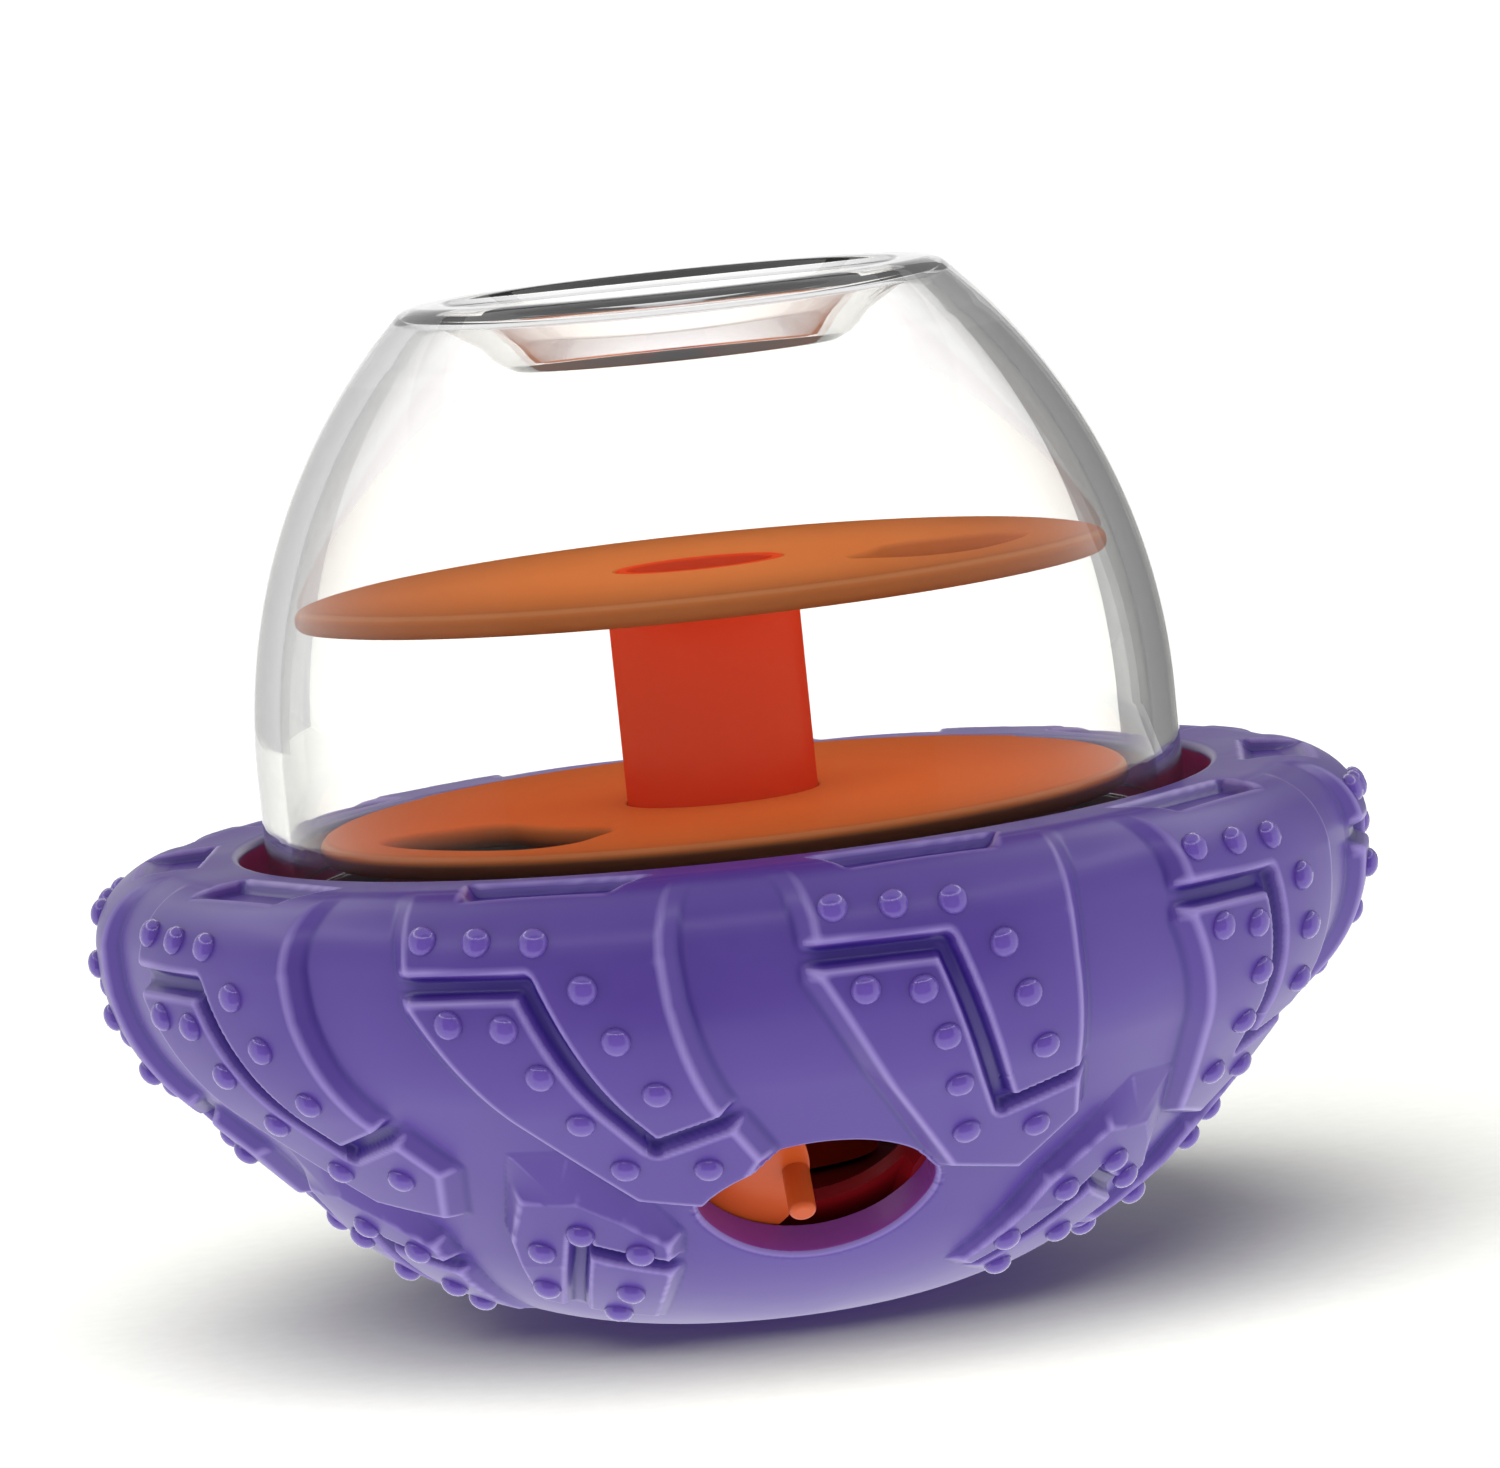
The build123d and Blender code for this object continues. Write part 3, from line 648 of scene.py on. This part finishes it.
def makeNubs():
    bm = bmesh.new()
    bmesh.ops.create_uvsphere(
        bm, u_segments=nubs["around"], v_segments=nubs["rings"], radius=1.0)
    size = Vector((nubs["radius"], nubs["radius"], nubs["height"])) * mm
    bmesh.ops.scale(bm, vec=size, verts=bm.verts)
    sunk = [vert for vert in bm.verts if vert.co.z < -nubs["sunk"] * mm]
    bmesh.ops.delete(bm, geom=sunk, context="VERTS")
    for face in bm.faces:
        face.smooth = True
    drop = bpy.data.meshes.new("drop")
    bm.to_mesh(drop)
    bm.clear()
    spots = []
    for lug in range(tread["lugs"]):
        first = tread["firstLug"] + lug * tread["pitch"]
        spots += [(first + turn, share) for turn, share in nubs["main"]]
        if lug > 0:
            spots += [(first + tread["lowTurn"] + turn, share) for turn, share in nubs["low"]]
    for turn, share in spots:
        row = faceRow(share * tread["rimZ"])
        out = onBearing(rows["outX"][row], turn, rows["outZ"][row]) / mm
        spot = onBearing(rows["radius"][row], turn, rows["height"][row])
        spot += out * rows["lift"][row] * mm
        place = Matrix.Translation(spot) @ out.to_track_quat("Z", "Y").to_matrix().to_4x4()
        old = len(bm.verts)
        bm.from_mesh(drop)
        bmesh.ops.transform(bm, matrix=place, verts=list(bm.verts)[old:])
    addPiece("treadNubs", bm, [nubRubber], "base", ["tread_shell"])
    bpy.data.meshes.remove(drop)


# the outlet breaks the pattern in the first two sectors, the rest repeat the third
for sector in range(3):
    plainSector = makeSector(sector)
for sector in range(3, tread["lugs"]):
    bm = bmesh.new()
    bm.from_mesh(plainSector.data)
    turned = Matrix.Rotation(radians((sector - 2) * tread["pitch"]), 3, "Z")
    bmesh.ops.rotate(bm, cent=(0, 0, 0), matrix=turned, verts=bm.verts)
    addSector(sector, bm)
makeNubs()
print("tread made")


# a profile turned once round the axis, its hard corners rounded off
def lathe(points, spec):
    bm = bmesh.new()
    line = [bm.verts.new(Vector((0, -radius, height)) * mm) for radius, height in points]
    edges = [bm.edges.new(pair) for pair in zip(line, line[1:] + line[:1])]
    spinLine(bm, line, edges, spec["steps"])
    bmesh.ops.recalc_face_normals(bm, faces=bm.faces)
    hard = [edge for edge in bm.edges
            if len(edge.link_faces) == 2 and edge.calc_face_angle(0) > spec["hardTurn"]]
    bmesh.ops.bevel(bm, geom=hard, offset=spec["round"] * mm, segments=3, affect="EDGES",
                    profile=0.5, material=-1)
    smoothFaces(bm, spec["sharp"])
    return bm


column = {
    "radius": 10.5, "bore": 8.0, "low": 40.0, "shoulder": 78.7, "spigot": 9.3, "top": 81.3,
    "steps": 160, "round": 0.3, "hardTurn": 0.6, "sharp": 50,
}
addPiece("columnTube", lathe([
    (column["bore"], column["low"]), (column["radius"], column["low"]),
    (column["radius"], column["shoulder"]), (column["spigot"], column["shoulder"]),
    (column["spigot"], column["top"]), (column["bore"], column["top"])], column),
    [columnPlastic], "trays", ["column"])

seal = {
    "inner": 50.8, "outer": 53.15, "low": 47.0, "high": 49.0,
    "steps": 160, "round": 0.4, "hardTurn": 0.6, "sharp": 50,
}
addPiece("sealRing", lathe([
    (seal["inner"], seal["low"]), (seal["outer"], seal["low"]),
    (seal["outer"], seal["high"]), (seal["inner"], seal["high"])], seal),
    [sealSilicone], "seal", ["dome_seal"])
print("column and seal made")


# trays: round plates with a rounded rim and one arc-shaped slot, given by two radii and the
# bearings of its ends; the painted highlight and the painted shade are placed by shares of the
# plate's depth
trays = {
    "radius": 44.5, "wall": 2.6, "rimRound": 1.15, "boreRound": 0.3, "slotRound": 0.6,
    "slotCorner": 5.0, "roundSteps": 5, "rimSteps": 200, "boreSteps": 96,
    "slotSteps": {"outer": 40, "inner": 30, "corner": 10}, "weld": 0.001, "sharp": 40,
    "rimSlack": 1.01, "highlightAt": 0.13, "highlightRun": 0.12, "shadeFrom": 0.2, "shadeRun": 0.25,
    # the lower tray, down in the bowl's mouth, gets full painted shade, the upper one a little
    "lower": {"node": "lower_tray", "top": 56.0, "bore": 10.55, "slot": (24.0, 39.5, -76.0, -26.0),
              "shade": 1.0},
    "upper": {"node": "upper_tray", "top": 81.3, "bore": 9.35, "slot": (20.0, 36.0, 46.0, 92.0),
              "shade": 0.3},
}


def slotPoints(slot, grow):
    inner, outer, first, last = slot
    corner = trays["slotCorner"]
    steps = trays["slotSteps"]
    farR, nearR = outer - corner, inner + corner
    farTurn = asin(corner / farR) * 180 / pi
    nearTurn = asin(corner / nearR) * 180 / pi
    points = []

    def spot(radius, turn):
        return radius * sin(radians(turn)), -radius * cos(radians(turn))

    def arc(centre, radius, start, stop, count):
        for index in range(count + 1):
            x, y = spot(radius, start + (stop - start) * index / count)
            points.append((centre[0] + x, centre[1] + y))

    def turnCorner(radius, bearing, start, stop):
        arc(spot(radius, bearing), corner + grow, start, stop, steps["corner"])

    arc((0, 0), outer + grow, first + farTurn, last - farTurn, steps["outer"])
    turnCorner(farR, last - farTurn, last - farTurn, last + 90)
    turnCorner(nearR, last - nearTurn, last + 90, last - nearTurn + 180)
    arc((0, 0), inner - grow, last - nearTurn, first + nearTurn, steps["inner"])
    turnCorner(nearR, first + nearTurn, first + nearTurn - 180, first - 90)
    turnCorner(farR, first + farTurn, first - 90, first + farTurn)
    return points


def circlePoints(radius, count):
    turns = [2 * pi * index / count for index in range(count)]
    return [(radius * sin(turn), -radius * cos(turn)) for turn in turns]


def makeTray(spec, name):
    bm = bmesh.new()
    low, top = spec["top"] - trays["wall"], spec["top"]

    def addLoop(points, height):
        verts = [bm.verts.new(Vector((x, y, height)) * mm) for x, y in points]
        bmesh.ops.remove_doubles(bm, verts=verts, dist=trays["weld"] * mm)
        verts = [vert for vert in verts if vert.is_valid]
        return [bm.edges.new(pair) for pair in zip(verts, verts[1:] + verts[:1])]

    # every edge is turned over by the same quarter rounds, top and bottom
    def wall(shape, roundMm):
        turns = [pi / 2 * index / trays["roundSteps"] for index in range(trays["roundSteps"] + 1)]
        levels = [(roundMm * (1 - sin(turn)), top - roundMm * (1 - cos(turn))) for turn in turns]
        levels += [(inset, top + low - height) for inset, height in reversed(levels)]
        loops = [addLoop(shape(inset), height) for inset, height in levels]
        for upper, lower in zip(loops, loops[1:]):
            bmesh.ops.bridge_loops(bm, edges=upper + lower)
        return loops[0], loops[-1]

    rim = wall(lambda inset: circlePoints(trays["radius"] - inset, trays["rimSteps"]),
               trays["rimRound"])
    bore = wall(lambda inset: circlePoints(spec["bore"] + inset, trays["boreSteps"]),
                trays["boreRound"])
    slot = wall(lambda inset: slotPoints(spec["slot"], inset), trays["slotRound"])
    flats, borders = [], []
    for level in (0, 1):
        border = rim[level] + bore[level] + slot[level]
        borders += border
        made = bmesh.ops.triangle_fill(bm, use_beauty=True, use_dissolve=False, edges=border)
        flats += [item for item in made["geom"] if isinstance(item, bmesh.types.BMFace)]
    smoothFaces(bm, trays["sharp"])
    for item in flats + borders:
        item.smooth = False
    # painted highlight where the rim turns over, and brown painted shade growing down every wall to
    # the underside
    paintedLightLayer = bm.verts.layers.float.new("edge")
    rimFrom = trays["radius"] - trays["rimRound"] * trays["rimSlack"]
    for vert in bm.verts:
        depth = (top - vert.co.z / mm) / trays["wall"]
        highlight = max(1 - abs(depth - trays["highlightAt"]) / trays["highlightRun"], 0)
        shade = min(max((depth - trays["shadeFrom"]) / trays["shadeRun"], 0), 1)
        vert[paintedLightLayer] = (vert.co.xy.length / mm > rimFrom) * highlight - spec["shade"] * shade
    addPiece(name, bm, [trayPlastic], "trays", [spec["node"]])


makeTray(trays["lower"], "lowerTray")
makeTray(trays["upper"], "upperTray")
print("trays made")


# dome: thick clear wall with a dished top, a bead that sits on the seal and short thread ridges
dome = {
    "radius": 50.5, "wall": 2.8, "low": 37.0, "straight": 63.0, "arc": 68.0, "top": 112.4,
    "dishR": 25.0, "dishFloorR": 16.5, "dishDepth": 5.6, "dishRound": 1.6,
    "crestRound": 3.4, "crestReach": 1.2, "crestZ": 105.0,
    "beadR": 52.7, "beadZ": 49.0, "beadWall": 1.6, "beadRuns": (0.2, 0.4),
    "beadRounds": (0.1, 0.4, 0.4, 0.2),
    "steps": 240, "arcSteps": 39, "roundSteps": 12, "sharp": 40, "wallSlack": 0.01,
    "ridges": 4, "ridgeArc": 40.0, "ridgeLead": 24.0, "ridgeZ": 40.6, "ridgeHalf": 1.1,
    "ridgeHeight": 1.25, "ridgeRun": 0.5, "ridgeStep": 0.25, "ridgeFrom": 37.5, "ridgeTop": 44.0,
}


# rounds the corners of an open line of points
def roundedLine(points, radii):
    line = [points[0]]
    steps = dome["roundSteps"]
    for before, corner, after, radius in zip(points, points[1:], points[2:], radii):
        one = (Vector(before) - Vector(corner)).normalized()
        two = (Vector(after) - Vector(corner)).normalized()
        half = one.angle(two) / 2
        reach = radius / tan(half)
        centre = Vector(corner) + (one + two).normalized() * radius / sin(half)
        first = Vector(corner) + one * reach - centre
        sweep = pi - 2 * half
        sign = 1 if first.cross(Vector(corner) + two * reach - centre) > 0 else -1
        for index in range(steps + 1):
            turned = Matrix.Rotation(sign * sweep * index / steps, 2) @ first
            line.append(tuple(centre + turned))
    return line + [points[-1]]


def domeLine(inset):
    arc = dome["arc"] - inset
    middle = dome["radius"] - dome["arc"]
    top = dome["top"] - inset
    straight, steps = dome["straight"], dome["arcSteps"]
    slope = dome["dishR"] - dome["dishFloorR"]
    shift = inset * (hypot(dome["dishDepth"], slope) - slope) / dome["dishDepth"]
    crestX = middle + sqrt(arc ** 2 - (top - straight) ** 2)
    line = [(dome["radius"] - inset, dome["low"])]
    for index in range(steps + 1):
        arcTop = top - dome["crestRound"] * dome["crestReach"]
        height = straight + (arcTop - straight) * index / steps
        line.append((middle + sqrt(arc ** 2 - (height - straight) ** 2), height))
    dishZ = top - dome["dishDepth"]
    corners = roundedLine(
        [line[-1], (crestX, top), (dome["dishR"] + shift, top), (dome["dishFloorR"] + shift, dishZ),
         (0, dishZ)],
        [dome["crestRound"] - inset / 2, dome["dishRound"], dome["dishRound"]])
    return line + corners[1:]


def makeDome():
    bm = bmesh.new()
    outer, inner = domeLine(0), domeLine(dome["wall"])
    wallR, beadR = dome["radius"], dome["beadR"]
    low, high = dome["beadZ"], dome["beadZ"] + dome["beadWall"]
    bead = roundedLine(
        [(wallR, low - dome["beadRuns"][0]), (wallR, low), (beadR, low), (beadR, high),
         (wallR, high), (wallR, high + dome["beadRuns"][1])], dome["beadRounds"])
    levels = np.arange(dome["ridgeFrom"], dome["ridgeTop"], dome["ridgeStep"])
    foot = [outer[0]] + [(wallR, height) for height in levels]
    profile = foot + bead + outer[1:] + inner[::-1]
    line = [bm.verts.new(Vector((0, -radius, height)) * mm) for radius, height in profile]
    edges = [bm.edges.new(pair) for pair in zip(line, line[1:])]
    edges.append(bm.edges.new((line[-1], line[0])))
    # no edge may run along the axis itself
    hub = [edge for edge in edges if all(vert.co.xy.length < tiny for vert in edge.verts)]
    bmesh.ops.delete(bm, geom=hub, context="EDGES")
    spinLine(bm, line, [edge for edge in edges if edge.is_valid], dome["steps"])
    pole = [vert for vert in bm.verts if vert.co.xy.length < tiny]
    bmesh.ops.remove_doubles(bm, verts=pole, dist=tiny)
    # four short ridges of the thread climb to the right round the foot
    gap = 360 / dome["ridges"]
    for vert in bm.verts:
        radius, height = vert.co.xy.length / mm, vert.co.z / mm
        onWall = abs(radius - wallR) <= dome["wallSlack"]
        if not onWall or not dome["low"] < height < dome["ridgeTop"]:
            continue
        turn = atan2(vert.co.x, -vert.co.y) * 180 / pi
        turn -= round(turn / gap) * gap
        off = abs(height - dome["ridgeZ"] - dome["ridgeLead"] * turn / 360)
        rise = min(max((dome["ridgeHalf"] - off) / dome["ridgeRun"], 0), 1)
        rise *= abs(turn) < dome["ridgeArc"] / 2
        vert.co.xy *= 1 + rise * dome["ridgeHeight"] / radius
    smoothFaces(bm, dome["sharp"])
    for face in bm.faces:
        face.material_index = 1 if face.calc_center_median().z > dome["crestZ"] * mm else 0
    piece = addPiece("clearDome", bm, [domeClear, crestClear], "dome", ["dome"])
    piece.visible_shadow = False  # lamps reach the trays through the clear wall


makeDome()
print("dome made")


finishes = {
    "inner_bowl": linerPlastic, "outlet_shutter": shutterPlastic, "counterweight": ballastIron,
    "weight_cover": linerPlastic, "cover_screws": screwSteel, "tray_hub": columnPlastic,
    "axle_washer": screwSteel, "axle_screw": screwSteel,
}
for node, material in finishes.items():
    mesh = frame["nodes"][node].data
    mesh.materials.clear()
    mesh.materials.append(material)
print("CAD nodes finished")


# a card is its tone, the place of its middle and half its side
stage = {
    "floorHalf": 60.0, "floorDrop": 0.0002,
    "paper": {"dark": "9C9C98", "light": "A2A29E", "fibreMm": 2.5, "roughness": 0.85},
    "cards": (("E4E4E4", -0.52, 0.8, 0.3, 0.3), ("9C9C9C", 0.33, 0.4, 0.2, 0.2)),
    "cardRoughness": 0.9,
    "screenAway": -1.6, "screenHalf": 2.2, "screenZ": 0.9, "screenTone": "101010",
    "skyUnder": 1.2, "skyLow": 1.1, "skyHigh": 0.8, "skyFoot": -0.6, "skyRise": (0.03, 0.4),
    "ringR": 1.3, "ringZ": (0.98, 1.26), "ringPower": 3.6, "ringSteps": 48,
    "fills": {
        "upperFill": {"z": 0.1, "radius": 0.045, "power": 0.012, "color": "FFF0E0"},
        "lowerFill": {"z": 0.0775, "radius": 0.045, "power": 0.018, "color": "FFC090"},
    },
    "tableSun": {"power": 10.0, "angle": 60.0, "tip": 35.0, "turn": -10.0},
}


# seamless paper, matt; the table light below makes it white
def paperMaterial(spec):
    material, tree = newMaterial("whitePaper")
    place = addNode(tree, "ShaderNodeTexCoord").outputs["Object"]
    fibre = addNoise(tree, place, spec["fibreMm"], detail=3.0)
    color = addMix(tree, fibre, spec["dark"], spec["light"])
    shader = addNode(tree, "ShaderNodeBsdfPrincipled", {}, {
        "Roughness": spec["roughness"], "Specular IOR Level": 0.0}, {"Base Color": color})
    endMaterial(tree, shader.outputs["BSDF"])
    return material


# flat matt card in one tone
def cardMaterial(name, color):
    material, tree = newMaterial(name)
    shader = addNode(tree, "ShaderNodeBsdfPrincipled", {}, {
        "Base Color": linearColor(color), "Roughness": stage["cardRoughness"]})
    endMaterial(tree, shader.outputs["BSDF"])
    return material


def hideFrom(thing, *rays):
    for ray in rays:
        setattr(thing, "visible_" + ray, False)


def addPlane(name, half, matrix, material):
    bm = bmesh.new()
    bmesh.ops.create_grid(bm, x_segments=1, y_segments=1, size=half, matrix=matrix)
    plane = addObject(name, bm, [material])
    hideFrom(plane, "diffuse", "shadow")
    return plane


def upright(x, y, z):
    return Matrix.Translation((x, y, z)) @ Matrix.Rotation(pi / 2, 4, "X")


floor = addPlane("paperFloor", stage["floorHalf"],
                 Matrix.Translation((0, 0, -stage["floorDrop"])), paperMaterial(stage["paper"]))
hideFrom(floor, "glossy")
# grey cards behind the set, out of the camera's sight, give the clear wall something to bend
for index, (color, x, y, z, half) in enumerate(stage["cards"]):
    material = cardMaterial("greyCard%d" % index, color)
    hideFrom(addPlane("card%d" % index, half, upright(x, y, z), material), "camera")
# black screen behind the camera: without it the clear wall would mirror the tent and veil the trays
screen = addPlane("blackScreen", stage["screenHalf"],
                  upright(0, stage["screenAway"], stage["screenZ"]),
                  cardMaterial("blackVelvet", stage["screenTone"]))
hideFrom(screen, "camera", "transmission")

# white tent: brightest under and around the table, dimmer overhead
world = bpy.data.worlds.new("studio")
scene.world = world
world.use_nodes = True
tent = world.node_tree
tent.nodes.clear()
way = addNode(tent, "ShaderNodeTexCoord").outputs["Generated"]
rise = addNode(tent, "ShaderNodeSeparateXYZ", {}, {}, {"Vector": way}).outputs["Z"]
level = addRange(tent, rise, stage["skyRise"], (stage["skyLow"], stage["skyHigh"]))
under = addRange(tent, rise, (stage["skyFoot"], 0.0), (stage["skyUnder"] - stage["skyLow"], 0.0))
power = addNode(tent, "ShaderNodeMath", {"operation": "ADD"}, {}, {0: level, 1: under})
sky = addNode(tent, "ShaderNodeBackground", {}, {"Color": (1, 1, 1, 1)},
              {"Strength": power.outputs["Value"]})
addNode(tent, "ShaderNodeOutputWorld", {}, {}, {"Surface": sky.outputs["Background"]})


# gives a lamp to some pieces alone
def lightOnly(lamp, name, pieces):
    group = bpy.data.collections.new(name)
    for piece in pieces:
        group.objects.link(piece)
    lamp.light_linking.receiver_collection = group


# ring of light over the set: one long shine along the shoulder of the tread
def addRing():
    material, tree = newMaterial("softbox")
    glow = addNode(tree, "ShaderNodeEmission", {}, {"Strength": stage["ringPower"]})
    endMaterial(tree, glow.outputs["Emission"])
    bm = bmesh.new()
    line = [bm.verts.new((0, -stage["ringR"], height)) for height in stage["ringZ"]]
    spinLine(bm, line, [bm.edges.new(line)], stage["ringSteps"])
    ring = addObject("softboxRing", bm, [material])
    hideFrom(ring, "camera", "diffuse", "transmission", "shadow")
    treads = [piece for piece in scene.objects if piece.name.startswith("tread")]
    lightOnly(ring, "treadLight", treads)


# flat light inside the dome, over a tray: the light that a clear wall scatters inwards
def addFill(name, spec):
    light = bpy.data.lights.new(name, "AREA")
    light.shape = "DISK"
    light.size = 2 * spec["radius"]
    light.energy = spec["power"]
    light.color = linearColor(spec["color"])[:3]
    lamp = bpy.data.objects.new(name, light)
    lamp.location.z = spec["z"]
    hideFrom(lamp, "camera", "glossy", "transmission")
    scene.collection.objects.link(lamp)


# a wide soft light for the table alone: white ground and a soft grey shadow
def addSun(spec):
    light = bpy.data.lights.new("tableSun", "SUN")
    light.energy = spec["power"]
    light.angle = radians(spec["angle"])
    lamp = bpy.data.objects.new("tableSun", light)
    lamp.matrix_world = (Matrix.Rotation(radians(spec["turn"]), 4, "Y")
                         @ Matrix.Rotation(radians(spec["tip"]), 4, "X"))
    hideFrom(lamp, "glossy")
    scene.collection.objects.link(lamp)
    lightOnly(lamp, "tableLight", [floor])


addRing()
for name, spec in stage["fills"].items():
    addFill(name, spec)
addSun(stage["tableSun"])

view = {
    "away": 0.85, "tilt": radians(6.41), "roll": radians(-5.95), "aimZ": 0.055,
    "lens": 185.84, "sensor": 36.0, "shift": (0.0176, 0.0447), "clip": (0.01, 100.0),
}
cameraData = bpy.data.cameras.new("photoCamera")
cameraData.sensor_fit = "HORIZONTAL"
cameraData.sensor_width = view["sensor"]
cameraData.lens = view["lens"]
cameraData.shift_x, cameraData.shift_y = view["shift"]
cameraData.clip_start, cameraData.clip_end = view["clip"]
camera = bpy.data.objects.new("photoCamera", cameraData)
cameraY = -view["away"] * cos(view["tilt"])
cameraZ = view["aimZ"] + view["away"] * sin(view["tilt"])
camera.matrix_world = (
    Matrix.Translation((0, cameraY, cameraZ))
    @ Matrix.Rotation(pi / 2 - view["tilt"], 4, "X") @ Matrix.Rotation(view["roll"], 4, "Z"))
scene.collection.objects.link(camera)
scene.camera = camera
scene.view_settings.view_transform = "Standard"
print("stage made")
